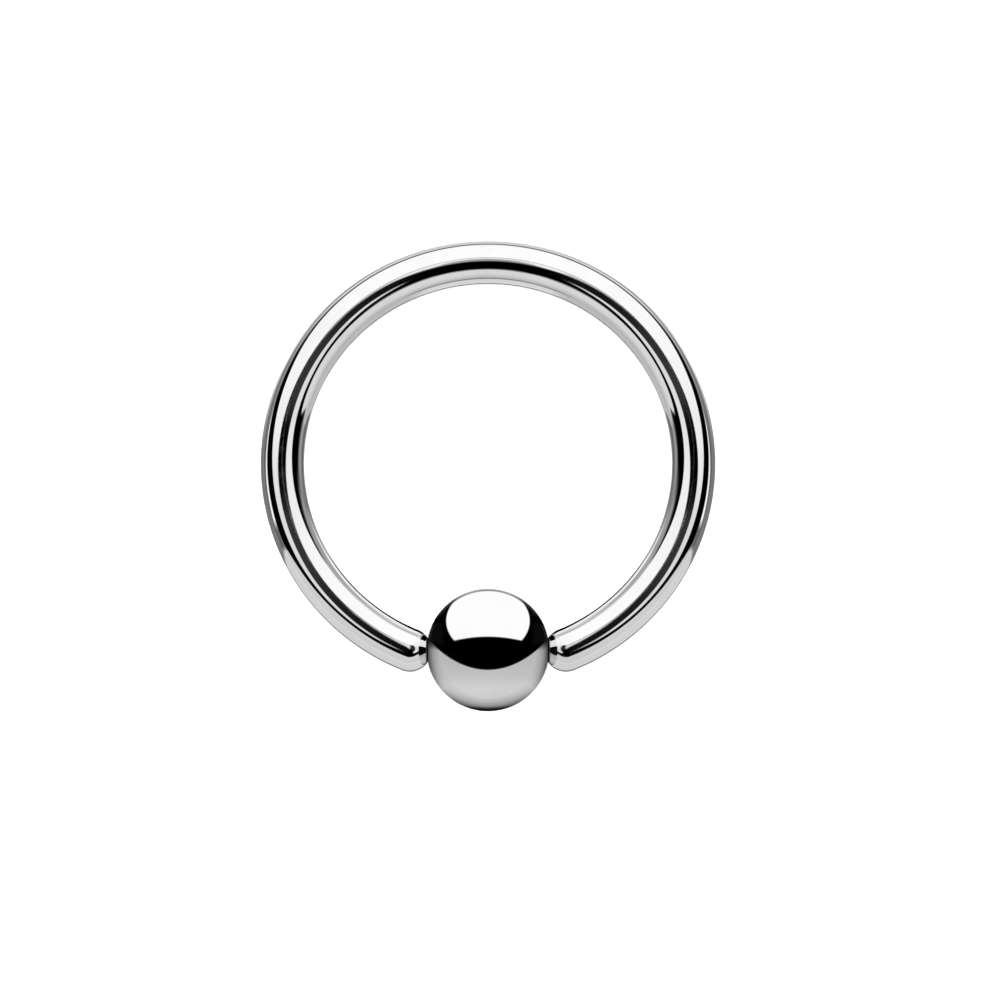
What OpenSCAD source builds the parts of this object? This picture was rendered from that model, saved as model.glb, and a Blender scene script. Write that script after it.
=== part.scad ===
// Captive bead ring: a hoop of round wire whose two domed ends hold a bead.
// It lies on its side as it would on a table. The thick bead and the wire
// across from it both touch the surface, so the hoop leans a few degrees.
// The origin is on that surface, under the middle of the ring.

/* [Hoop] */
// Thickness of the round wire
wire_d = 1.68; // [1.2:0.02:2.0]
// Clear width inside the hoop
inside_d = 14.28; // [12:0.02:19]
// Width of the domed wire ends, which leaves a fine edge where each dome starts
dome_d = 1.67; // [1.1:0.01:1.98]

/* [Bead] */
// Width of the bead
bead_d = 4.73; // [4:0.01:6]
// How far each wire end reaches into the bead
seat_depth = 0.19; // [0.12:0.01:0.4]
// Clearance between a wire end and the wall of its dimple
seat_gap = 0.03; // [0.01:0.01:0.08]

/* [Hidden] */
$fn = 144;

wire_r = wire_d / 2;
dome_r = min(dome_d, wire_d - 0.01) / 2;
bead_r = bead_d / 2;
// Radius of the circle that the middle of the wire follows
hoop_r = (inside_d + wire_d) / 2;
// From the middle of the bead to the middle of each wire end's dome
end_x = bead_r + dome_r - seat_depth;
// From the middle of the hoop to the middle of the bead
bead_y = sqrt(hoop_r * hoop_r - end_x * end_x);
// Half of the angle that the gap in the wire takes up
gap_angle = asin(end_x / hoop_r);
// The lean at which the bead and the wire across from it both touch down
lean = asin((bead_r - wire_r) / (hoop_r + bead_y));
// Place of the middle of the hoop, with the whole ring centred over the origin
rest_y = ((bead_y - hoop_r) * cos(lean) + bead_r - wire_r) / 2;
rest_z = wire_r + hoop_r * sin(lean);

// Lays a ring drawn flat about the origin, bead towards -Y, on the surface
module lay_down() {
    translate([0, rest_y, rest_z])
        rotate([-lean, 0, 0])
            children();
}

module hoop() {
    color([0.80, 0.81, 0.83])
        lay_down() {
            rotate([0, 0, gap_angle - 90])
                rotate_extrude(angle = 360 - 2 * gap_angle)
                    translate([hoop_r, 0])
                        circle(r = wire_r);
            for (side = [-1, 1])
                translate([side * end_x, -bead_y, 0])
                    sphere(r = dome_r);
        }
}

// Half of the bead's round section, with a dimple at each end of its axis
module bead_section() {
    difference() {
        circle(r = bead_r);
        translate([-2 * bead_r, -bead_r])
            square(2 * bead_r);
        for (side = [-1, 1])
            translate([0, side * end_x])
                circle(r = dome_r + seat_gap);
    }
}

module bead() {
    color([0.74, 0.75, 0.77])
        lay_down()
            translate([0, -bead_y, 0])
                rotate([0, 90, 0])
                    rotate_extrude()
                        bead_section();
}

hoop();
bead();
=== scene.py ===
"""Captive bead ring of polished steel: a hoop of round wire and the bead between its ends.

The ring lies on its side on a pale floor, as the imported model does. Both pieces are
remade from the same sizes, smooth enough for a mirror finish, and stand for their
CAD nodes. Polish shows only what it reflects, so each piece has a light tent of its
own: a white soft box, black flags and grey cards, hung where a mirror ring shows
them from the camera's side.
"""
import logging
import math
from dataclasses import dataclass, field
from enum import Enum
from typing import Sequence

import bpy
from mathutils import Matrix, Vector


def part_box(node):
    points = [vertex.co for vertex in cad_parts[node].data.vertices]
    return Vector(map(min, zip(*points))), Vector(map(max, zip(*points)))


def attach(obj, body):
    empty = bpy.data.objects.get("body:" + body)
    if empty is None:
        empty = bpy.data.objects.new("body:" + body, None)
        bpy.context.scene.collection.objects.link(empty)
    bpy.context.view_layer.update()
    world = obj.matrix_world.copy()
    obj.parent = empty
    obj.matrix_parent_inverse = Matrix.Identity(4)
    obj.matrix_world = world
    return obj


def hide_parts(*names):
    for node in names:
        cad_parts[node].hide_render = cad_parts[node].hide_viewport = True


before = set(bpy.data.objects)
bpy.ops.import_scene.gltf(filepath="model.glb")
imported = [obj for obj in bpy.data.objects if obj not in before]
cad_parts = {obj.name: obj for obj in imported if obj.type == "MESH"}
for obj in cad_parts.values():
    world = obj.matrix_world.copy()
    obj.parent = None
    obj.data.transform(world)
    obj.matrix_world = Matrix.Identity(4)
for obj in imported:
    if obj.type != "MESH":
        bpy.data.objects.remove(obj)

LOG = logging.getLogger("ring")
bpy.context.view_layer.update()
MM = 0.001
MICRON = 1e-6
UPRIGHT = 90.0
PAST_UPRIGHT = 95.0

Tree = bpy.types.NodeTree
Socket = bpy.types.NodeSocket
Color = tuple[float, float, float]
Edge = tuple[float, float]
Points = Sequence[tuple[float, float]]
Value = "Signal | float"


class Body(Enum):
    """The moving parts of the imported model."""

    HOOP = "hoop"
    BEAD = "bead"


class Slot(Enum):
    """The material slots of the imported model."""

    WIRE = "wire_steel"
    BEAD = "bead_steel"


@dataclass(frozen=True)
class RingSizes:
    """The ring's sizes in metres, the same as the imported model's, and what follows from them."""

    wire_d: float = 1.68 * MM
    inside_d: float = 14.28 * MM
    dome_d: float = 1.67 * MM
    bead_d: float = 4.73 * MM
    seat_depth: float = 0.19 * MM
    seat_gap: float = 0.03 * MM
    same_within: float = 0.02 * MM

    @property
    def wire_r(self) -> float:
        """Radius of the wire."""
        return self.wire_d / 2

    @property
    def dome_r(self) -> float:
        """How far each wire end's dome stands out."""
        return self.dome_d / 2

    @property
    def bead_r(self) -> float:
        """Radius of the bead."""
        return self.bead_d / 2

    @property
    def hoop_r(self) -> float:
        """Radius of the circle that the middle of the wire follows."""
        return (self.inside_d + self.wire_d) / 2

    @property
    def end_x(self) -> float:
        """From the middle of the bead to where each wire end's dome starts."""
        return self.bead_r + self.dome_r - self.seat_depth

    @property
    def bead_y(self) -> float:
        """From the middle of the hoop to the middle of the bead."""
        return math.sqrt(self.hoop_r**2 - self.end_x**2)

    @property
    def gap_angle(self) -> float:
        """Half of the angle that the gap in the wire takes up, in radians."""
        return math.asin(self.end_x / self.hoop_r)

    @property
    def lean(self) -> float:
        """The angle at which the ring lies, between the floor and its own plane."""
        return math.asin((self.bead_r - self.wire_r) / (self.hoop_r + self.bead_y))

    @property
    def middle(self) -> Vector:
        """The middle of the hoop as it lies on the floor."""
        y = ((self.bead_y - self.hoop_r) * math.cos(self.lean) + self.bead_r - self.wire_r) / 2
        return Vector((0.0, y, self.wire_r + self.hoop_r * math.sin(self.lean)))

    @property
    def laid(self) -> Matrix:
        """Takes a ring drawn flat about the origin, bead towards -Y, to where it lies."""
        return Matrix.Translation(self.middle) @ Matrix.Rotation(-self.lean, 4, "X")

    @property
    def bead_laid(self) -> Matrix:
        """Takes a bead drawn about the origin, dimples on X, to where it lies."""
        return self.laid @ Matrix.Translation((0.0, -self.bead_y, 0.0))

    def check(self) -> None:
        """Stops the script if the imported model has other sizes.

        Raises:
            ValueError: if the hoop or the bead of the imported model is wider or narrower.
        """
        widths = {"hoop": self.inside_d + 2 * self.wire_d, "bead": self.bead_d}
        for node, width in widths.items():
            low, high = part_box(node)
            found = high.y - low.y if node == "bead" else high.x - low.x
            if abs(found - width) > self.same_within:
                raise ValueError(f"{node} is {found / MM:.3f} mm wide, not {width / MM:.3f}")


@dataclass(frozen=True)
class Camera:
    """A long lens that looks down on the ring from the front, near to straight down.

    It takes in field_width, and it is aimed aside of and below the middle of the hoop.
    """

    elevation: float = math.radians(84.19)
    distance: float = 250 * MM
    sensor: float = 36.0
    field_width: float = 38.8 * MM
    aside: float = 0.464 * MM
    below: float = 1.456 * MM
    clip: tuple[float, float] = (MM, 20.0)

    @property
    def towards(self) -> Vector:
        """Direction from the ring to the camera."""
        return Vector((0.0, -math.cos(self.elevation), math.sin(self.elevation)))

    @property
    def up(self) -> Vector:
        """Direction on the ring that the picture shows upright."""
        return Vector((0.0, math.sin(self.elevation), math.cos(self.elevation)))

    @property
    def seen_from(self) -> Vector:
        """Direction from the middle of the hoop to the camera, which is aimed a little below it."""
        return (self.towards * self.distance - self.up * self.below).normalized()

    def place(self, middle: Vector) -> None:
        """Adds the camera, aimed a little beside and below the middle of the hoop.

        Args:
            middle: the middle of the hoop.
        """
        aim = middle + Vector((self.aside, 0.0, 0.0)) - self.up * self.below
        bpy.ops.object.camera_add(
            location=aim + self.towards * self.distance,
            rotation=(math.pi / 2 - self.elevation, 0.0, 0.0),
        )
        camera = bpy.context.object
        camera.name = "camera"
        camera.data.sensor_width = self.sensor
        camera.data.lens = self.sensor * self.distance / self.field_width
        camera.data.clip_start, camera.data.clip_end = self.clip
        bpy.context.scene.camera = camera


def feed(tree: Tree, socket: Socket, value: object) -> None:
    """Links a signal or a socket to an input, or sets the input to a plain value.

    Args:
        tree: the tree that both are in.
        socket: the input.
        value: a Signal, an output socket, a number or a vector.
    """
    if isinstance(value, Signal):
        value = value.source
    if isinstance(value, Socket):
        tree.links.new(value, socket)
    else:
        socket.default_value = value


@dataclass(frozen=True)
class Signal:
    """One number in a node tree. Working with it adds the nodes that work it out."""

    tree: Tree
    source: Socket

    def math(self, operation: str, *others: Value, clamp: bool = False) -> "Signal":
        """Adds a Math node.

        Args:
            operation: what the node does, with this signal as its first input.
            others: its other inputs.
            clamp: keeps the result from 0 to 1.

        Returns:
            The node's result.
        """
        node = self.tree.nodes.new("ShaderNodeMath")
        node.operation = operation
        node.use_clamp = clamp
        for socket, value in zip(node.inputs, (self, *others)):
            feed(self.tree, socket, value)
        return Signal(self.tree, node.outputs[0])

    def __add__(self, other: Value) -> "Signal":
        """The sum."""
        return self.math("ADD", other)

    def __sub__(self, other: Value) -> "Signal":
        """The difference."""
        return self.math("SUBTRACT", other)

    def __mul__(self, other: Value) -> "Signal":
        """The product."""
        return self.math("MULTIPLY", other)

    def __truediv__(self, other: Value) -> "Signal":
        """The quotient."""
        return self.math("DIVIDE", other)

    def over(self, level: Value, soft: float) -> "Signal":
        """1 where the signal is over a level and 0 where it is under it.

        Args:
            level: the level.
            soft: the width of the change from 0 to 1.

        Returns:
            The mask.
        """
        return (self - level).math("MULTIPLY_ADD", 1 / soft, 0.5, clamp=True)

    def under(self, level: Value, soft: float) -> "Signal":
        """1 where the signal is under a level and 0 where it is over it.

        Args:
            level: the level.
            soft: the width of the change from 1 to 0.

        Returns:
            The mask.
        """
        return (self - level).math("MULTIPLY_ADD", -1 / soft, 0.5, clamp=True)

    def mix(self, other: Value, share: Value) -> "Signal":
        """Goes over to another number by a share from 0 to 1.

        Args:
            other: the number at a share of 1.
            share: the share.

        Returns:
            The mixed number.
        """
        node = self.tree.nodes.new("ShaderNodeMix")
        node.data_type = "FLOAT"
        for socket, value in zip((0, 2, 3), (share, self, other)):
            feed(self.tree, node.inputs[socket], value)
        return Signal(self.tree, node.outputs[0])

    def curve(self, points: Points, top: float = 1.0) -> "Signal":
        """Follows a smooth line through points, level beyond the first and the last.

        Args:
            points: the signal's own values, rising, each with what it turns into.
            top: the most that the line may reach.

        Returns:
            The line's height at the signal.
        """
        low, high = points[0][0], points[-1][0]
        node = self.tree.nodes.new("ShaderNodeFloatCurve")
        node.mapping.extend = "HORIZONTAL"
        line = node.mapping.curves[0].points
        placed = [((x - low) / (high - low), y / top) for x, y in points]
        line[0].location, line[1].location = placed[0], placed[-1]
        for place in placed[1:-1]:
            line.new(*place)
        for point in line:
            point.handle_type = "AUTO_CLAMPED"
        node.mapping.update()
        scaled = self.math("MULTIPLY_ADD", 1 / (high - low), -low / (high - low), clamp=True)
        feed(self.tree, node.inputs["Value"], scaled)
        return Signal(self.tree, node.outputs[0]) * top


def split(
    tree: Tree, vector: Socket
) -> tuple[Signal, Signal, Signal]:
    """Takes a vector apart.

    Args:
        tree: the tree that it is in.
        vector: the vector.

    Returns:
        Its parts along X, Y and Z.
    """
    node = tree.nodes.new("ShaderNodeSeparateXYZ")
    feed(tree, node.inputs[0], vector)
    x, y, z = (Signal(tree, part) for part in node.outputs)
    return x, y, z


def own_place(tree: Tree) -> Socket:
    """The object's own coordinates, in metres."""
    return tree.nodes.new("ShaderNodeTexCoord").outputs["Object"]


def arrange(tree: Tree, pitch: tuple[float, float] = (190.0, 170.0)) -> None:
    """Sets the nodes out in columns, each to the left of the nodes that it feeds.

    Args:
        tree: the tree to tidy.
        pitch: the distance between columns and between rows.
    """
    depth = {node: 0 for node in tree.nodes}
    for _ in range(len(depth)):
        moved = False
        for link in tree.links:
            if depth[link.from_node] <= depth[link.to_node]:
                depth[link.from_node] = depth[link.to_node] + 1
                moved = True
        if not moved:
            break
    filled: dict[int, int] = {}
    for node, column in depth.items():
        row = filled.get(column, 0)
        filled[column] = row + 1
        node.location = (-column * pitch[0], -row * pitch[1])


@dataclass(frozen=True)
class Floor:
    """A plain pale floor under the ring."""

    width: float = 3.0
    drop: float = 10 * MICRON
    color: Color = (0.97, 0.97, 0.97)
    roughness: float = 0.9

    def build(self) -> None:
        """Lays the floor just under the ring. It is left out of the ring's own reflections."""
        bpy.ops.mesh.primitive_plane_add(size=self.width, location=(0.0, 0.0, -self.drop))
        floor = bpy.context.object
        floor.name = "floor"
        material = bpy.data.materials.new("pale_floor")
        material.use_nodes = True
        shader = material.node_tree.nodes["Principled BSDF"]
        shader.inputs["Base Color"].default_value = (*self.color, 1.0)
        shader.inputs["Roughness"].default_value = self.roughness
        shader.inputs["Specular IOR Level"].default_value = 0.0
        floor.data.materials.append(material)
        floor.visible_glossy = False


@dataclass(frozen=True)
class StudioLight:
    """Plain soft light from all round. The polished pieces see their tents instead."""

    strength: float = 2.0

    def build(self) -> None:
        """Makes the world: white for the floor and the camera, black for reflections."""
        world = bpy.data.worlds.new("studio")
        world.use_nodes = True
        tree = world.node_tree
        background = tree.nodes["Background"]
        path = tree.nodes.new("ShaderNodeLightPath")
        reflected = Signal(tree, path.outputs["Is Glossy Ray"])
        seen = reflected.math("SUBTRACT", 1.0).math("MULTIPLY", -self.strength)
        feed(tree, background.inputs["Strength"], seen)
        background.inputs["Color"].default_value = (1.0, 1.0, 1.0, 1.0)
        arrange(tree)
        bpy.context.scene.world = world
        bpy.context.scene.view_settings.view_transform = "Standard"


@dataclass
class Cloth:
    """Glowing cloth, painted in tones from 0, black, to 1, white, that lights one piece alone.

    The tones are as the picture shows them. The glow makes up for what the steel
    swallows, by its reflectance.
    """

    name: str
    piece: bpy.types.Object
    laid: Matrix
    reflectance: float = 0.8
    gamma: float = 2.2
    tone: Signal = field(init=False)

    def hang(self, cloth: bpy.types.Object) -> None:
        """Names the cloth, gives it its glow, and hides it from all but its piece's polish.

        Args:
            cloth: the object that carries the cloth.
        """
        cloth.name = self.name
        material = bpy.data.materials.new(self.name)
        material.use_nodes = True
        material.cycles.emission_sampling = "NONE"
        tree = material.node_tree
        tree.nodes.clear()
        out = tree.nodes.new("ShaderNodeOutputMaterial")
        feed(tree, out.inputs["Surface"], self.surface(tree))
        arrange(tree)
        cloth.data.materials.append(material)
        cloth.visible_camera = False
        cloth.visible_diffuse = False
        cloth.visible_shadow = False
        lit = bpy.data.collections.new(f"{self.name}_lit")
        lit.objects.link(self.piece)
        cloth.light_linking.receiver_collection = lit

    def surface(self, tree: Tree) -> Socket:
        """Makes the cloth's shader.

        Args:
            tree: the material's tree.

        Returns:
            The shader's output.
        """
        raise NotImplementedError

    def glow(self, tree: Tree) -> Socket:
        """Lights the cloth in its painted tone.

        Args:
            tree: the material's tree.

        Returns:
            The light's output.
        """
        node = tree.nodes.new("ShaderNodeEmission")
        light = self.tone.math("POWER", self.gamma) / self.reflectance
        feed(tree, node.inputs["Strength"], light)
        return node.outputs[0]

    def lay(self, tone: Signal | float, *masks: Signal) -> None:
        """Paints the next thing on the cloth, over what is there.

        Args:
            tone: how light it is.
            masks: where it is, as the product of masks from 0 to 1.
        """
        share = masks[0]
        for mask in masks[1:]:
            share = share * mask
        self.tone = self.tone.mix(tone, share)


@dataclass
class Tent(Cloth):
    """A light tent round one piece.

    A place in the tent is named by the way a mirror has to face to show it to the
    camera: aside and up as the picture has them, or round and over the hoop. Where
    only other views look, straight behind the ring, the painting fades to back_tone.
    """

    camera: Camera = Camera()
    radius: float = 2.0
    back_tone: float = 0.6
    back_edge: Edge = (0.2, 0.2)
    length: Signal = field(init=False)

    def build(self) -> None:
        """Adds the tent."""
        bpy.ops.mesh.primitive_uv_sphere_add(segments=64, ring_count=32, radius=self.radius)
        self.hang(bpy.context.object)

    def surface(self, tree: Tree) -> Socket:
        """Makes the cloth, which lets through whatever is behind it."""
        self.paint(*self.facing(tree))
        self.lay(self.back_tone, self.length.under(*self.back_edge))
        clear = tree.nodes.new("ShaderNodeBsdfTransparent")
        both = tree.nodes.new("ShaderNodeAddShader")
        feed(tree, both.inputs[0], self.glow(tree))
        feed(tree, both.inputs[1], clear.outputs[0])
        return both.outputs[0]

    def facing(self, tree: Tree) -> tuple[Signal, Signal, Signal, Signal]:
        """Works out how a mirror faces that shows each place of the tent to the camera.

        It faces along the sum of the directions to the place and to the camera. The sum's
        length is kept too, which is 0 straight behind the ring.

        Args:
            tree: the material's tree.

        Returns:
            How far aside it faces (both sides alike) and how far up, from -1 to 1 in the
            picture, and then its bearing round the hoop, from -90 at the bead to 90 across
            from it, and its height over the hoop's plane, both in degrees.
        """
        eye = self.camera.seen_from
        turned = self.laid.to_3x3()
        unit = tree.nodes.new("ShaderNodeVectorMath")
        unit.operation = "NORMALIZE"
        feed(tree, unit.inputs[0], own_place(tree))

        def along(axis: Vector) -> Signal:
            """How far the sum of the two directions reaches along an axis."""
            node = tree.nodes.new("ShaderNodeVectorMath")
            node.operation = "DOT_PRODUCT"
            feed(tree, node.inputs[0], unit.outputs[0])
            node.inputs[1].default_value = axis
            return Signal(tree, node.outputs["Value"]) + axis.dot(eye)

        self.length = (along(eye) * 2.0).math("MAXIMUM", 1e-6).math("SQRT")
        aside = along(Vector((1.0, 0.0, 0.0))).math("ABSOLUTE") / self.length
        up = along(self.camera.up) / self.length
        across = along(turned @ Vector((0.0, 1.0, 0.0))) / self.length
        over = along(turned @ Vector((0.0, 0.0, 1.0))) / self.length
        bearing = across.math("ARCTAN2", aside).math("DEGREES")
        height = over.math("ARCSINE").math("DEGREES")
        return aside, up, bearing, height

    def paint(self, aside: Signal, up: Signal, bearing: Signal, height: Signal) -> None:
        """Hangs the tent's own boxes, flags and cards.

        Args:
            aside: how far aside the mirror faces.
            up: how far up it faces.
            bearing: its bearing round the hoop.
            height: its height over the hoop's plane.
        """
        raise NotImplementedError


@dataclass
class BeadTent(Tent):
    """What the bead shows: a soft box at the top, a black band, and the grey table.

    Places are from -1 to 1, as the picture shows the bead: up, aside, or out from its
    middle to its rim. An edge is such a place and the width of the change there. A
    bend is how much a line across the bead rises from its middle to its sides.
    """

    crisp: float = 0.02
    shade_tone: float = 0.1
    shade_least: float = 0.25
    foot_tone: float = 0.06
    foot_rim: Edge = (0.935, 0.08)
    foot_top: Edge = (-0.935, 0.06)
    band_foot: float = 0.312
    band_bend: float = 0.48
    side_tone: float = 0.075
    side_start: Edge = (0.7, 0.15)
    side_foot: Edge = (0.05, 0.15)
    box_tone: float = 0.99
    box_middle: float = 0.48
    box_half: tuple[float, float] = (0.69, 0.54)
    box_foot: float = 0.222
    box_bend: float = -0.235
    box_rim: Edge = (0.97, 0.03)
    rim_soft: float = 0.03
    rim_foot: Edge = (0.1, 0.1)

    def paint(self, aside: Signal, up: Signal, bearing: Signal, height: Signal) -> None:
        """Hangs the table, the band, the soft box and the thin grey rim."""
        square = aside * aside
        rim = (square + up * up).math("SQRT")
        self.tone = up.curve(
            [(-1.0, 0.66), (-0.82, 0.77), (-0.64, 0.815), (-0.4, 0.75), (0.1, 0.7)]
        )
        straight = (bearing.math("RADIANS") * 2.0).math("COSINE").math("ABSOLUTE")
        shade = rim.curve([(0.78, 0.0), (0.9, 0.25), (0.95, 0.55), (1.0, 0.9)])
        share = straight.math("MULTIPLY_ADD", 1 - self.shade_least, self.shade_least)
        self.lay(self.shade_tone, shade * share)
        self.lay(self.foot_tone, rim.over(*self.foot_rim), up.under(*self.foot_top))
        band = square * self.band_bend - self.band_foot
        self.lay(0.0, up.over(band, self.crisp))
        self.lay(self.side_tone, aside.over(*self.side_start), up.over(*self.side_foot))
        out = aside / self.box_half[0]
        over = (up - self.box_middle) / self.box_half[1]
        box = (out * out + over * over).under(1.0, 2.5 * self.crisp)
        low = square * self.box_bend + self.box_foot
        self.lay(self.box_tone, box, up.over(low, self.crisp), rim.under(*self.box_rim))
        edge = up.curve([(-1.0, 0.14), (0.5, 0.14), (0.7, 0.27), (0.85, 0.58), (0.95, 0.77)])
        start = up.curve([(-1.0, 0.955), (0.5, 0.955), (0.85, 0.967), (0.97, 0.977)])
        self.lay(edge, rim.over(start, self.rim_soft), up.over(*self.rim_foot))


@dataclass
class HoopTent(Tent):
    """What the hoop shows: a soft box over it, black flags along it, and cards round it.

    The curves go from height, or from bearing, to tone, or to the height where the
    next thing starts. An edge is a bearing, or a height, and the width of the change
    there. All angles are in degrees.
    """

    crisp: float = 1.6
    white: float = 0.97
    shoulder_start: Edge = (15.0, 24.0)
    crown_start: Edge = (38.5, 23.0)
    across_start: Edge = (67.0, 34.0)
    streak_start: Edge = (-17.5, 3.0)
    streak_end: Edge = (13.0, 8.0)
    streak_soft: float = 2.5
    bead_card_soft: float = 1.5
    box_start: Edge = (-66.0, 3.0)
    border_tone: float = 0.56
    border_top: float = 7.0
    border_end: Edge = (-68.0, 8.0)
    border_soft: float = 3.0
    back_end: Edge = (-30.0, 4.0)
    back_soft: float = 4.0
    slit_foot: Edge = (89.6, 0.5)

    def paint(self, aside: Signal, up: Signal, bearing: Signal, height: Signal) -> None:
        """Hangs the low cards first, then the flag, the soft box, the hood and the back."""
        side = height.curve(
            [(0.0, 0.48), (13.0, 0.46), (22.0, 0.45), (31.0, 0.47), (37.0, 0.37), (44.0, 0.42)]
        )
        shoulder = height.curve([
            (0.0, 0.97), (15.0, 0.975), (21.0, 0.95), (25.0, 0.86), (29.0, 0.66), (32.0, 0.5),
            (35.0, 0.42), (38.0, 0.5), (41.0, 0.62), (44.0, 0.5),
        ])
        crown = height.curve([
            (0.0, 0.7), (15.0, 0.62), (21.0, 0.54), (25.0, 0.51), (29.0, 0.57), (33.0, 0.75),
            (37.0, 0.89), (40.0, 0.86), (43.0, 0.62), (46.0, 0.5),
        ])
        across = height.curve(
            [(0.0, 0.95), (21.0, 0.92), (27.0, 0.87), (33.0, 0.78), (41.0, 0.82), (46.0, 0.73)]
        )
        lower = side.mix(shoulder, bearing.over(*self.shoulder_start))
        lower = lower.mix(crown, bearing.over(*self.crown_start))
        self.tone = lower.mix(across, bearing.over(*self.across_start))
        streak = bearing.curve(
            [(-18.0, 37.3), (-12.0, 38.9), (-5.0, 40.2), (5.0, 42.9), (14.0, 45.2)], top=UPRIGHT
        )
        self.lay(
            self.white,
            bearing.over(*self.streak_start),
            bearing.under(*self.streak_end),
            height.over(streak, self.streak_soft),
        )
        card = height.curve([
            (0.0, 0.3), (5.0, 0.36), (8.5, 0.68), (14.0, 0.78), (20.0, 0.815), (34.0, 0.81),
            (39.0, 0.84), (45.0, 0.79), (56.0, 0.815),
        ])
        edge = height.curve([(10.0, 28.0), (20.0, 26.5), (30.0, 24.9), (36.0, 24.2)], top=UPRIGHT)
        self.lay(card, (bearing + edge).under(0.0, self.bead_card_soft))
        bottom = bearing.curve([
            (-90.0, 60.0), (-65.0, 59.8), (-55.0, 59.6), (-45.0, 58.4), (-38.0, 56.6),
            (-33.0, 54.7), (-29.0, 52.3), (-26.0, 49.5), (-23.5, 46.4), (-20.0, 45.6),
            (0.0, 46.4), (12.0, 47.0), (25.0, 46.5), (35.0, 44.2), (45.0, 42.6),
            (55.0, 42.0), (90.0, 42.3),
        ], top=UPRIGHT)
        flag = bearing.curve(
            [(28.0, 0.01), (45.0, 0.06), (55.0, 0.12), (65.0, 0.2), (75.0, 0.35), (90.0, 0.5)]
        )
        self.lay(flag, height.over(bottom, self.crisp))
        top = bearing.curve([
            (-90.0, 70.0), (-65.0, 68.8), (-60.0, 67.2), (-50.0, 65.9), (-45.0, 65.1),
            (-35.0, 63.6), (-25.0, 62.5), (-15.0, 63.0), (-5.0, 63.3), (5.0, 62.6),
            (12.0, 61.3), (20.0, 59.0), (25.0, 57.0), (30.0, 54.0), (35.0, 51.3),
            (40.0, 49.4), (45.0, 48.1), (55.0, 46.8), (90.0, 48.0),
        ], top=UPRIGHT)
        box = bearing.curve([
            (-67.0, 0.7), (-60.0, 0.78), (-50.0, 0.86), (-28.0, 0.85), (0.0, 0.91),
            (20.0, 0.95), (60.0, 0.99),
        ])
        self.lay(box, height.over(top, self.crisp), bearing.over(*self.box_start))
        hood = bearing.curve([
            (-75.0, 60.0), (-70.0, 68.0), (-65.0, 70.4), (-58.0, 71.3), (-45.0, 72.1),
            (-35.0, 72.2), (-25.0, 74.0), (-15.0, 75.7), (-5.0, 78.2), (5.0, 81.1),
            (15.0, 84.3), (25.0, 87.6), (40.0, 89.3), (60.0, 89.6), (90.0, 89.9),
        ], top=PAST_UPRIGHT)
        inside = bearing.curve([
            (-75.0, 0.01), (-65.0, 0.08), (-45.0, 0.14), (-34.0, 0.2), (-20.0, 0.21),
            (-11.0, 0.1), (-4.0, 0.02),
        ])
        self.lay(inside, height.over(hood, self.crisp))
        behind = bearing.curve([
            (-90.0, 80.5), (-75.0, 81.2), (-68.0, 83.8), (-62.0, 86.2), (-55.0, 87.6),
            (-46.0, 89.0), (-36.0, 94.0),
        ], top=PAST_UPRIGHT)
        border = bearing.curve(
            [(-90.0, 6.4), (-80.0, 5.0), (-73.0, 1.5), (-68.0, 0.0)], top=self.border_top
        )
        below_slit = height.under(*self.slit_foot)
        edge = height.over(behind, self.border_soft)
        self.lay(self.border_tone, edge, below_slit, bearing.under(*self.border_end))
        inner = height.over(behind + border, self.back_soft)
        self.lay(self.white, inner, below_slit, bearing.under(*self.back_end))


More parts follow.
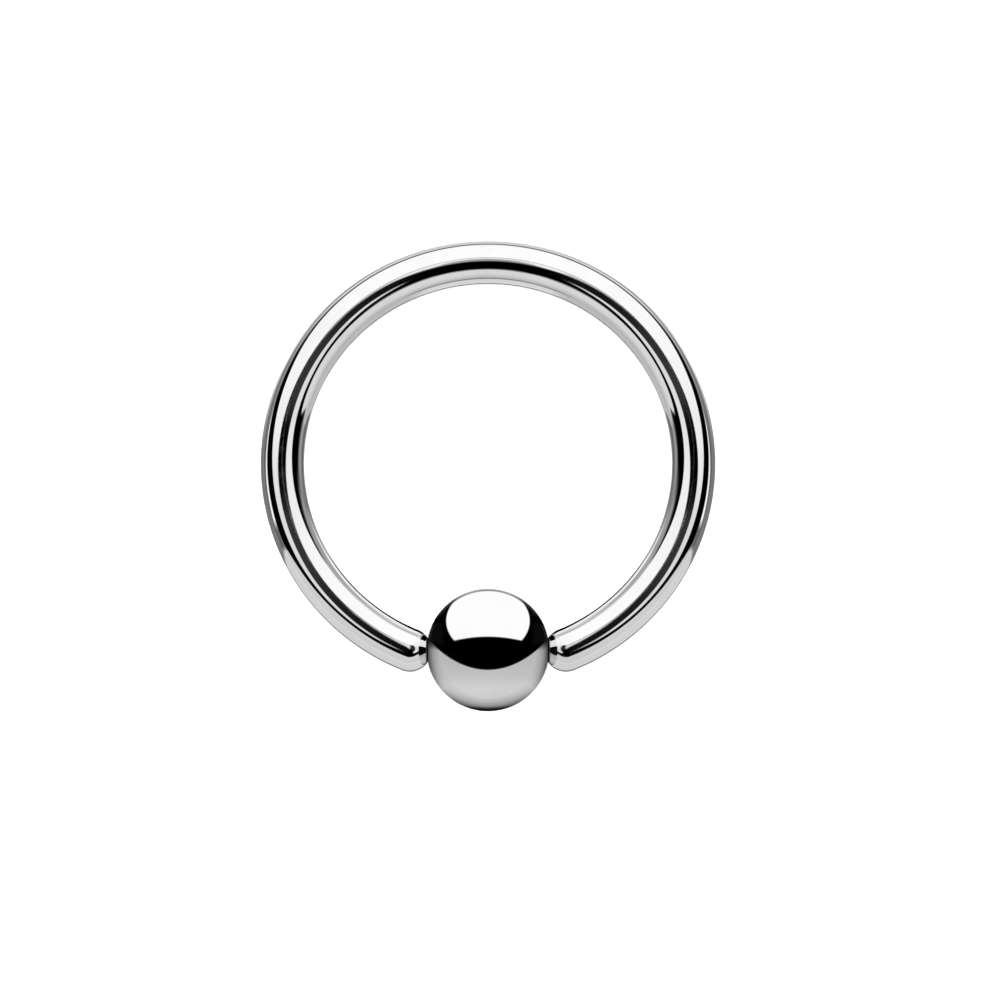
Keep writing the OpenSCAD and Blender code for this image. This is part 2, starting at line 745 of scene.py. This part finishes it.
@dataclass
class InnerCard(Cloth):
    """A short round card just inside the hoop, which shows in the wire's inner side alone.

    It is cut away near the bead, and it can't be seen from inside. Curves and edges
    are as in the hoop's tent.
    """

    radius: float = 6.4 * MM
    depth: float = 4.6 * MM
    crisp: float = 1.6
    camera_shift: float = 0.22
    hem_soft: float = 1.5
    far_soft: float = 2.0
    top_tone: float = 0.83
    top_start: Edge = (68.0, 6.0)
    top_end: Edge = (28.0, 3.0)
    seam_tone: float = 0.5
    seam_start: Edge = (66.0, 6.0)
    seam_low: Edge = (27.8, 2.4)
    seam_high: Edge = (31.4, 2.4)
    flag_tone: float = 0.01
    flag_start: Edge = (10.0, 2.0)
    limit_soft: float = 1.0
    cut: Edge = (-72.0, 4.0)
    solid: Signal = field(init=False)

    def build(self) -> None:
        """Adds the card round the hoop's own axis."""
        bpy.ops.mesh.primitive_cylinder_add(
            vertices=128, radius=self.radius, depth=self.depth, end_fill_type="NOTHING"
        )
        card = bpy.context.object
        card.matrix_world = self.laid
        self.hang(card)

    def surface(self, tree: Tree) -> Socket:
        """Makes the card, solid where it is painted and clear elsewhere and from inside."""
        self.paint(*self.shown(*split(tree, own_place(tree))))
        inside = Signal(tree, tree.nodes.new("ShaderNodeNewGeometry").outputs["Backfacing"])
        clear = tree.nodes.new("ShaderNodeBsdfTransparent")
        both = tree.nodes.new("ShaderNodeMixShader")
        feed(tree, both.inputs[0], self.solid * inside.under(0.5, 0.1))
        feed(tree, both.inputs[1], clear.outputs[0])
        feed(tree, both.inputs[2], self.glow(tree))
        return both.outputs[0]

    def shown(self, x: Signal, y: Signal, z: Signal) -> tuple[Signal, Signal]:
        """Works out where the wire shows each place of the card.

        Args:
            x: the place on the card, along X.
            y: the place on the card, along Y.
            z: the place on the card, along the hoop's axis.

        Returns:
            The bearing of that stretch of wire, from -90 at the bead to 90 across from it,
            and how high its polish faces over the hoop's plane, both in degrees.
        """
        bearing = y.math("ARCTAN2", x.math("ABSOLUTE")).math("DEGREES")
        rise = z / MM - bearing.math("RADIANS").math("SINE") * self.camera_shift
        height = rise.curve([
            (-1.92, 10.0), (-1.53, 12.0), (-1.11, 15.0), (-0.65, 20.0), (-0.33, 25.0),
            (-0.07, 30.0), (0.157, 35.0), (0.375, 40.0), (0.594, 45.0), (0.826, 50.0),
            (1.088, 55.0), (1.397, 60.0), (1.8, 65.0),
        ], top=UPRIGHT)
        return bearing, height

    def paint(self, bearing: Signal, height: Signal) -> None:
        """Paints the card from the bead's side round to the far side.

        Args:
            bearing: the bearing of the stretch of wire that shows the place.
            height: how high its polish faces.
        """

        def card(start: float, soft: float, points: Points) -> None:
            """Lays tones that go by height, from a bearing on."""
            self.lay(height.curve(points), bearing.over(start, soft))

        self.tone = height.curve([
            (10.0, 0.9), (40.0, 0.94), (44.0, 0.91), (48.0, 0.8), (52.0, 0.7), (55.0, 0.8),
            (58.0, 0.97),
        ])
        card(-55.0, 14.0, [
            (10.0, 0.9), (30.0, 0.92), (36.0, 0.95), (39.0, 0.88), (42.0, 0.74), (45.0, 0.65),
            (48.0, 0.65), (51.0, 0.72), (54.0, 0.9), (57.0, 0.97),
        ])
        card(-41.0, 12.0, [
            (10.0, 0.9), (22.0, 0.8), (27.0, 0.88), (33.0, 0.96), (37.0, 0.84), (40.0, 0.64),
            (44.0, 0.62), (48.0, 0.64), (51.0, 0.62), (54.0, 0.84), (57.0, 0.97),
        ])
        hem = bearing.curve([
            (-66.0, 35.0), (-60.0, 31.0), (-50.0, 27.0), (-42.0, 25.5), (-35.0, 23.5),
            (-28.0, 20.0),
        ], top=UPRIGHT)
        drawn = bearing.curve([(-45.0, 0.0), (-38.0, 0.15), (-30.0, 0.3)])
        self.lay(drawn, height.under(hem, self.hem_soft))
        card(-29.5, 6.0, [
            (10.0, 0.6), (21.0, 0.58), (25.0, 0.67), (29.0, 0.83), (32.0, 0.87), (37.0, 0.65),
            (41.0, 0.56), (45.0, 0.62), (48.0, 0.58), (51.0, 0.4), (53.0, 0.15), (55.0, 0.02),
        ])
        card(-18.0, 12.0, [
            (10.0, 0.52), (13.0, 0.5), (21.0, 0.44), (29.0, 0.48), (35.0, 0.48), (39.0, 0.55),
            (43.0, 0.61), (47.0, 0.47), (50.0, 0.22), (53.0, 0.04),
        ])
        card(-6.0, 14.0, [
            (10.0, 0.55), (13.0, 0.53), (19.0, 0.4), (23.0, 0.39), (27.0, 0.43), (31.0, 0.55),
            (34.0, 0.61), (36.5, 0.58), (39.5, 0.44), (42.0, 0.25), (44.5, 0.08), (47.5, 0.01),
        ])
        far = height.curve([
            (10.0, 0.68), (20.0, 0.73), (30.0, 0.7), (35.0, 0.73), (39.0, 0.78), (45.0, 0.83),
            (56.0, 0.84),
        ])
        edge = height.curve([
            (10.0, 19.0), (19.0, 17.5), (25.0, 15.0), (30.0, 12.5), (36.0, 13.0),
            (42.0, 17.5), (48.0, 16.0),
        ], top=UPRIGHT)
        self.lay(far, bearing.over(edge, self.far_soft))
        self.lay(self.top_tone, bearing.over(*self.top_start), height.under(*self.top_end))
        seam = height.over(*self.seam_low) * height.under(*self.seam_high)
        self.lay(self.seam_tone, bearing.over(*self.seam_start), seam)
        bottom = bearing.curve([
            (14.0, 52.5), (18.0, 53.7), (20.0, 54.6), (25.0, 55.9), (35.0, 57.7),
            (60.0, 59.0), (90.0, 59.3),
        ], top=UPRIGHT)
        flag = height.over(bottom, self.crisp)
        self.lay(self.flag_tone, bearing.over(*self.flag_start), flag)
        limit = bearing.curve([
            (-70.0, 58.0), (-50.0, 56.5), (-36.0, 55.0), (-25.0, 56.0), (-15.0, 58.5),
            (0.0, 60.0), (90.0, 60.0),
        ], top=UPRIGHT)
        self.solid = height.under(limit, self.limit_soft) * bearing.over(*self.cut)


@dataclass(frozen=True)
class PolishMarks:
    """The faint marks that are left in polished steel, as a node group that both finishes use.

    Sizes are in millimetres. Haze comes from smudges, from hairline scratches, which
    run in sets that are each turned their own way, and from the lines of making.
    """

    name: str = "polish_marks"
    smudge_scale: float = 0.7
    smudge_edge: Edge = (0.58, 0.3)
    turns: tuple[Color, ...] = ((0.4, 0.2, 0.9), (1.1, 0.7, -0.5), (-0.6, 1.3, 2.1))
    stretch: Color = (0.25, 3.0, 3.0)
    hairline_edge: Edge = (0.006, 0.008)
    hairline_depth: float = 0.12
    break_scale: float = 1.3
    break_edge: Edge = (0.55, 0.1)
    haze: tuple[float, float, float] = (0.6, 0.4, 0.15)

    def group(self) -> Tree:
        """Builds the group, or finds it where it is built already.

        Returns:
            The group. Its vectors are in millimetres.
        """
        tree = bpy.data.node_groups.get(self.name)
        if tree is not None:
            return tree
        tree = bpy.data.node_groups.new(self.name, "ShaderNodeTree")
        inputs = {"Place": "Vector", "Draw": "Vector", "Hairlines": "Float"}
        for name, kind in inputs.items():
            tree.interface.new_socket(name, in_out="INPUT", socket_type=f"NodeSocket{kind}")
        for name in ("Haze", "Height"):
            tree.interface.new_socket(name, in_out="OUTPUT", socket_type="NodeSocketFloat")
        given = tree.nodes.new("NodeGroupInput")
        place, draw, amount = (given.outputs[name] for name in inputs)
        smudge = self.noise(tree, place, self.smudge_scale, 3.0).over(*self.smudge_edge)
        drawn = self.noise(tree, draw, 1.0, 4.0)
        lines = self.hairline(tree, place, self.turns[0])
        for turn in self.turns[1:]:
            lines = lines.math("MAXIMUM", self.hairline(tree, place, turn))
        lines = lines * Signal(tree, amount)
        given_back = tree.nodes.new("NodeGroupOutput")
        by_smudge, by_line, by_draw = self.haze
        haze = (smudge * by_smudge + lines * by_line).math("ADD", drawn * by_draw, clamp=True)
        feed(tree, given_back.inputs["Haze"], haze)
        feed(tree, given_back.inputs["Height"], drawn - lines * self.hairline_depth)
        arrange(tree)
        return tree

    def noise(self, tree: Tree, place: Socket, scale: float, detail: float) -> Signal:
        """Adds a noise.

        Args:
            tree: the tree.
            place: the vector that it reads.
            scale: its scale.
            detail: how fine it goes.

        Returns:
            The noise, round 0.5.
        """
        node = tree.nodes.new("ShaderNodeTexNoise")
        feed(tree, node.inputs["Vector"], place)
        node.inputs["Scale"].default_value = scale
        node.inputs["Detail"].default_value = detail
        return Signal(tree, node.outputs[0])

    def hairline(self, tree: Tree, place: Socket, turn: tuple[float, float, float]) -> Signal:
        """Adds a sparse set of hairline scratches that run one way.

        Args:
            tree: the tree.
            place: the vector that it reads.
            turn: how the set is turned.

        Returns:
            1 on a scratch and 0 beside it.
        """
        node = tree.nodes.new("ShaderNodeMapping")
        feed(tree, node.inputs["Vector"], place)
        node.inputs["Rotation"].default_value = turn
        node.inputs["Scale"].default_value = self.stretch
        run = self.noise(tree, node.outputs[0], 1.0, 1.0)
        broken = self.noise(tree, place, self.break_scale, 1.0)
        near = (run - 0.5).math("ABSOLUTE")
        return near.under(*self.hairline_edge) * broken.over(*self.break_edge)


@dataclass(frozen=True)
class SteelFinish:
    """Mirror polished steel with the faint marks of drawing, polishing and handling.

    In the crevice between bead and wire end the colour is painted near black and the polish made
    rougher: painted shade, in place of the shadow that falls there.
    """

    name: str
    roughness: tuple[float, float]
    hairlines: float
    relief: float
    color: Color = (0.81, 0.81, 0.81)
    dull: Color = (0.75, 0.75, 0.75)
    # The crevice colour below is painted shade: near black where bead and wire end meet, in place
    # of the shadow there.
    crevice_shade_color: Color = (0.012, 0.012, 0.012)
    crevice_roughness: float = 0.4

    def material(self, place: "Place") -> bpy.types.Material:
        """Makes the material.

        Args:
            place: the coordinates that the marks follow.

        Returns:
            The material.
        """
        material = bpy.data.materials.new(self.name)
        material.use_nodes = True
        tree = material.node_tree
        shader = tree.nodes["Principled BSDF"]
        shader.inputs["Metallic"].default_value = 1.0
        marks = tree.nodes.new("ShaderNodeGroup")
        marks.node_tree = PolishMarks().group()
        whole, drawn = place.vectors(tree)
        feed(tree, marks.inputs["Place"], whole)
        feed(tree, marks.inputs["Draw"], drawn)
        marks.inputs["Hairlines"].default_value = self.hairlines
        haze = Signal(tree, marks.outputs["Haze"])
        # Painted shade: the crevice between bead and wire end is darkened in the colour, in place
        # of its shadow.
        crevice_shade_mask = place.crevice(tree, whole)
        tint: object = (*self.color, 1.0)
        for share, color in ((haze, self.dull), (crevice_shade_mask, self.crevice_shade_color)):
            blend = tree.nodes.new("ShaderNodeMix")
            blend.data_type = "RGBA"
            for socket, value in zip((0, 6, 7), (share, tint, (*color, 1.0))):
                feed(tree, blend.inputs[socket], value)
            tint = blend.outputs[2]
        feed(tree, shader.inputs["Base Color"], tint)
        low, high = self.roughness
        polished = haze.math("MULTIPLY_ADD", high - low, low)
        feed(tree, shader.inputs["Roughness"], polished.mix(self.crevice_roughness, crevice_shade_mask))
        bump = tree.nodes.new("ShaderNodeBump")
        bump.inputs["Strength"].default_value = 1.0
        bump.inputs["Distance"].default_value = self.relief
        feed(tree, bump.inputs["Height"], marks.outputs["Height"])
        feed(tree, shader.inputs["Normal"], bump.outputs[0])
        arrange(tree)
        return material


@dataclass(frozen=True)
class Place:
    """Coordinates for the marks on one piece, from its Object coordinates.

    The axle is that far from the piece's own middle along Y. The edges are how far the crevice's
    painted shade reaches from the axle and along it, in millimetres.
    """

    laid: Matrix
    axle: float = 0.0
    crevice_shade_edge: Edge = (0.54, 0.08)
    dome_edge: Edge = (2.9, 0.1)

    def crevice(self, tree: Tree, whole: Socket) -> Signal:
        """Where the crevice's painted shade goes, where bead and wire end touch: close to the
        bead's axle, and not past the dome.

        Args:
            tree: the material's tree.
            whole: the place, in millimetres.

        Returns:
            The mask of the painted shade.
        """
        along, out, over = split(tree, whole)
        out = out - self.axle / MM
        off = (out * out + over * over).math("SQRT")
        return off.under(*self.crevice_shade_edge) * along.math("ABSOLUTE").under(*self.dome_edge)

    def local(self, tree: Tree) -> Socket:
        """Object coordinates turned to the ring as drawn flat about the piece's own middle, in mm.

        Args:
            tree: the material's tree.

        Returns:
            The vector.
        """
        node = tree.nodes.new("ShaderNodeMapping")
        back = self.laid.inverted()
        node.inputs["Location"].default_value = back.translation / MM
        node.inputs["Rotation"].default_value = back.to_euler()
        node.inputs["Scale"].default_value = (1 / MM, 1 / MM, 1 / MM)
        feed(tree, node.inputs["Vector"], own_place(tree))
        return node.outputs[0]

    def vectors(self, tree: Tree) -> tuple[Socket, Socket]:
        """The vector for marks that run every way, and the one for marks left by making the piece.

        Args:
            tree: the material's tree.

        Returns:
            Both vectors, in millimetres.
        """
        raise NotImplementedError


@dataclass(frozen=True)
class WirePlace(Place):
    """Along the wire and round it, so that the lines of drawing run with the hoop."""

    hoop_r: float = 7.98 * MM
    stretch: float = 0.12
    squeeze: float = 3.0

    def vectors(self, tree: Tree) -> tuple[Socket, Socket]:
        """Works out the angle round the hoop and the angle round the wire."""
        whole = self.local(tree)
        x, y, z = split(tree, whole)
        out = (x * x + y * y).math("SQRT") - self.hoop_r / MM
        round_wire = z.math("ARCTAN2", out)
        joined = tree.nodes.new("ShaderNodeCombineXYZ")
        along = y.math("ARCTAN2", x) * (self.stretch * self.hoop_r / MM)
        feed(tree, joined.inputs[0], along)
        feed(tree, joined.inputs[1], round_wire.math("COSINE") * self.squeeze)
        feed(tree, joined.inputs[2], round_wire.math("SINE") * self.squeeze)
        return whole, joined.outputs[0]


@dataclass(frozen=True)
class BeadPlace(Place):
    """Round the bead's own axle, so that the lines of turning run round it."""

    stretch: Color = (2.5, 0.5, 0.5)

    def vectors(self, tree: Tree) -> tuple[Socket, Socket]:
        """Draws the marks out round the axle."""
        whole = self.local(tree)
        node = tree.nodes.new("ShaderNodeMapping")
        node.inputs["Scale"].default_value = self.stretch
        feed(tree, node.inputs["Vector"], whole)
        return whole, node.outputs[0]


def deselect() -> None:
    """Clears the selection, so that the next operator acts on new objects alone."""
    bpy.ops.object.select_all(action="DESELECT")


def unpick() -> None:
    """Deselects every point of the active piece's mesh."""
    bpy.ops.object.mode_set(mode="EDIT")
    bpy.ops.mesh.select_all(action="DESELECT")
    bpy.ops.object.mode_set(mode="OBJECT")


def settle(piece: bpy.types.Object, place: Matrix) -> None:
    """Moves a piece and puts its place into its mesh.

    Args:
        piece: the piece, which is left at the origin.
        place: where its own frame goes.
    """
    deselect()
    piece.select_set(True)
    bpy.context.view_layer.objects.active = piece
    piece.matrix_world = place
    bpy.context.view_layer.update()
    bpy.ops.object.transform_apply()


def close_up(piece: bpy.types.Object, near: float = 0.4 * MICRON) -> None:
    """Merges doubled points and turns every face outwards.

    Args:
        piece: the piece.
        near: the distance within which points merge.
    """
    bpy.context.view_layer.objects.active = piece
    bpy.ops.object.mode_set(mode="EDIT")
    bpy.ops.mesh.select_all(action="SELECT")
    bpy.ops.mesh.remove_doubles(threshold=near)
    bpy.ops.mesh.normals_make_consistent(inside=False)
    bpy.ops.object.mode_set(mode="OBJECT")


@dataclass(frozen=True)
class Hoop:
    """The wire, bent to a circle that is open at the bead, with a dome on each end."""

    sizes: RingSizes
    sides: int = 96
    steps: int = 480
    dome_rings: int = 48

    def build(self) -> bpy.types.Object:
        """Turns the wire's section round the hoop and closes both ends.

        Returns:
            The hoop, where it lies.
        """
        sizes = self.sizes
        sweep = 2 * math.pi - 2 * sizes.gap_angle
        wire = self.wire(sweep)
        first = self.dome(outward=-1)
        last = self.dome(outward=1)
        settle(last, Matrix.Rotation(sweep, 4, "Z"))
        deselect()
        for part in (first, last, wire):
            part.select_set(True)
        bpy.context.view_layer.objects.active = wire
        bpy.ops.object.join()
        wire.name = "wire_hoop"
        close_up(wire)
        settle(wire, sizes.laid @ Matrix.Rotation(sizes.gap_angle - math.pi / 2, 4, "Z"))
        bpy.ops.object.shade_smooth()
        return wire

    def wire(self, sweep: float) -> bpy.types.Object:
        """Turns a circle round the hoop's axis into the length of wire.

        Args:
            sweep: the angle from end to end.

        Returns:
            The open tube, which starts on +X.
        """
        sizes = self.sizes
        deselect()
        bpy.ops.mesh.primitive_circle_add(
            vertices=self.sides,
            radius=sizes.wire_r,
            fill_type="NOTHING",
            location=(sizes.hoop_r, 0.0, 0.0),
            rotation=(math.pi / 2, 0.0, 0.0),
        )
        tube = bpy.context.object
        bpy.ops.object.transform_apply()
        bend = tube.modifiers.new("bend", "SCREW")
        bend.axis = "Z"
        bend.angle = sweep
        bend.steps = self.steps
        bend.render_steps = self.steps
        bpy.ops.object.modifier_apply(modifier=bend.name)
        return tube

    def dome(self, outward: int) -> bpy.types.Object:
        """Cuts a ball in half for a wire end.

        Args:
            outward: -1 for the end that faces -Y, 1 for the end that faces +Y.

        Returns:
            The dome, on +X.
        """
        sizes = self.sizes
        deselect()
        bpy.ops.mesh.primitive_uv_sphere_add(
            segments=self.sides,
            ring_count=self.dome_rings,
            radius=sizes.wire_r,
            location=(sizes.hoop_r, 0.0, 0.0),
            rotation=(math.pi / 2, 0.0, 0.0),
        )
        ball = bpy.context.object
        ball.scale.z = sizes.dome_r / sizes.wire_r
        bpy.ops.object.transform_apply()
        unpick()
        for vertex in ball.data.vertices:
            vertex.select = vertex.co.y * outward < -MICRON
        bpy.ops.object.mode_set(mode="EDIT")
        bpy.ops.mesh.select_mode(type="VERT")
        bpy.ops.mesh.delete(type="VERT")
        bpy.ops.object.mode_set(mode="OBJECT")
        return ball


@dataclass(frozen=True)
class Bead:
    """The ball, with a round dimple at each end of the axle on which it turns."""

    sizes: RingSizes
    segments: int = 192
    rings: int = 96
    dimple_rings: int = 10
    rim: float = 0.012 * MM

    def build(self) -> bpy.types.Object:
        """Cuts both caps off a ball and presses a dimple in from each cut.

        Returns:
            The bead, where it lies.
        """
        sizes = self.sizes
        deselect()
        bpy.ops.mesh.primitive_uv_sphere_add(
            segments=self.segments,
            ring_count=self.rings,
            radius=sizes.bead_r,
            rotation=(0.0, math.pi / 2, 0.0),
        )
        ball = bpy.context.object
        ball.name = "steel_bead"
        bpy.ops.object.transform_apply()
        seat_r = sizes.dome_r + sizes.seat_gap
        rim_x = (sizes.bead_r**2 - seat_r**2 + sizes.end_x**2) / (2 * sizes.end_x)
        for side in (-1, 1):
            self.dimple(side, seat_r, rim_x)
        unpick()
        rim_r = math.sqrt(sizes.bead_r**2 - rim_x**2)
        on_rim = [
            abs(abs(v.co.x) - rim_x) < MICRON and abs(v.co.yz.length - rim_r) < 5 * MICRON
            for v in ball.data.vertices
        ]
        for edge in ball.data.edges:
            edge.select = all(on_rim[v] for v in edge.vertices)
        bpy.ops.object.mode_set(mode="EDIT")
        bpy.ops.mesh.select_mode(type="EDGE")
        bpy.ops.mesh.bevel(offset=self.rim, segments=3, affect="EDGES")
        bpy.ops.object.mode_set(mode="OBJECT")
        close_up(ball)
        settle(ball, sizes.bead_laid)
        bpy.ops.object.shade_smooth()
        return ball

    def dimple(self, side: int, seat_r: float, rim_x: float) -> None:
        """Cuts one cap off the ball and steps the cut's edge in along the round seat.

        Args:
            side: -1 or 1, the end of the axle.
            seat_r: radius of the seat, which is round the middle of the wire end's dome.
            rim_x: how far from the bead's middle the seat's rim is.
        """
        middle = self.sizes.end_x
        bpy.ops.object.mode_set(mode="EDIT")
        bpy.ops.mesh.select_mode(type="VERT")
        bpy.ops.mesh.select_all(action="SELECT")
        bpy.ops.mesh.bisect(
            plane_co=(side * rim_x, 0.0, 0.0),
            plane_no=(side, 0.0, 0.0),
            clear_outer=True,
            threshold=0.1 * MICRON,
        )
        start = math.acos((middle - rim_x) / seat_r)
        before = start
        for ring in range(1, self.dimple_rings + 1):
            angle = start * (1 - ring / (self.dimple_rings + 1))
            step = side * seat_r * (math.cos(before) - math.cos(angle))
            shrink = math.sin(angle) / math.sin(before)
            at = side * (middle - seat_r * math.cos(angle))
            bpy.ops.mesh.extrude_region_move(TRANSFORM_OT_translate={"value": (step, 0.0, 0.0)})
            bpy.ops.transform.resize(value=(1.0, shrink, shrink), center_override=(at, 0.0, 0.0))
            before = angle
        step = side * seat_r * (math.cos(before) - 1)
        bpy.ops.mesh.extrude_region_move(TRANSFORM_OT_translate={"value": (step, 0.0, 0.0)})
        bpy.ops.mesh.merge(type="CENTER")
        bpy.ops.object.mode_set(mode="OBJECT")


WIRE_STEEL = SteelFinish("wire_steel", (0.035, 0.11), hairlines=0.7, relief=0.2 * MICRON)
BEAD_STEEL = SteelFinish("bead_steel", (0.03, 0.09), hairlines=0.5, relief=0.1 * MICRON)


def dress(
    piece: bpy.types.Object, material: bpy.types.Material, body: Body, node: str
) -> None:
    """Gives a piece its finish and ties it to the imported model.

    The bead shows in the wire ends' polish. The hoop is left out of reflections.

    Args:
        piece: the piece.
        material: its finish.
        body: the body that it moves with.
        node: the CAD node that it stands for.
    """
    piece.data.materials.clear()
    piece.data.materials.append(material)
    piece.visible_glossy = body is Body.BEAD
    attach(piece, body.value)
    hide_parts(node)
    LOG.info("%s: %d faces, rides on %s", piece.name, len(piece.data.polygons), body.value)


def main() -> None:
    """Sets up the studio and builds the ring."""
    logging.basicConfig(level=logging.INFO, format="%(message)s")
    sizes = RingSizes()
    sizes.check()
    camera = Camera()
    camera.place(sizes.middle)
    Floor().build()
    StudioLight().build()
    hoop = Hoop(sizes).build()
    wire_place = WirePlace(sizes.laid, axle=-sizes.bead_y, hoop_r=sizes.hoop_r)
    dress(hoop, WIRE_STEEL.material(wire_place), Body.HOOP, "hoop")
    bead = Bead(sizes).build()
    bead_place = BeadPlace(sizes.bead_laid)
    dress(bead, BEAD_STEEL.material(bead_place), Body.BEAD, "bead")
    HoopTent("hoop_tent", hoop, sizes.laid, camera=camera, radius=2.2).build()
    InnerCard("inner_card", hoop, sizes.laid).build()
    BeadTent("bead_tent", bead, sizes.laid, camera=camera, radius=2.0).build()


if __name__ == "__main__":
    main()
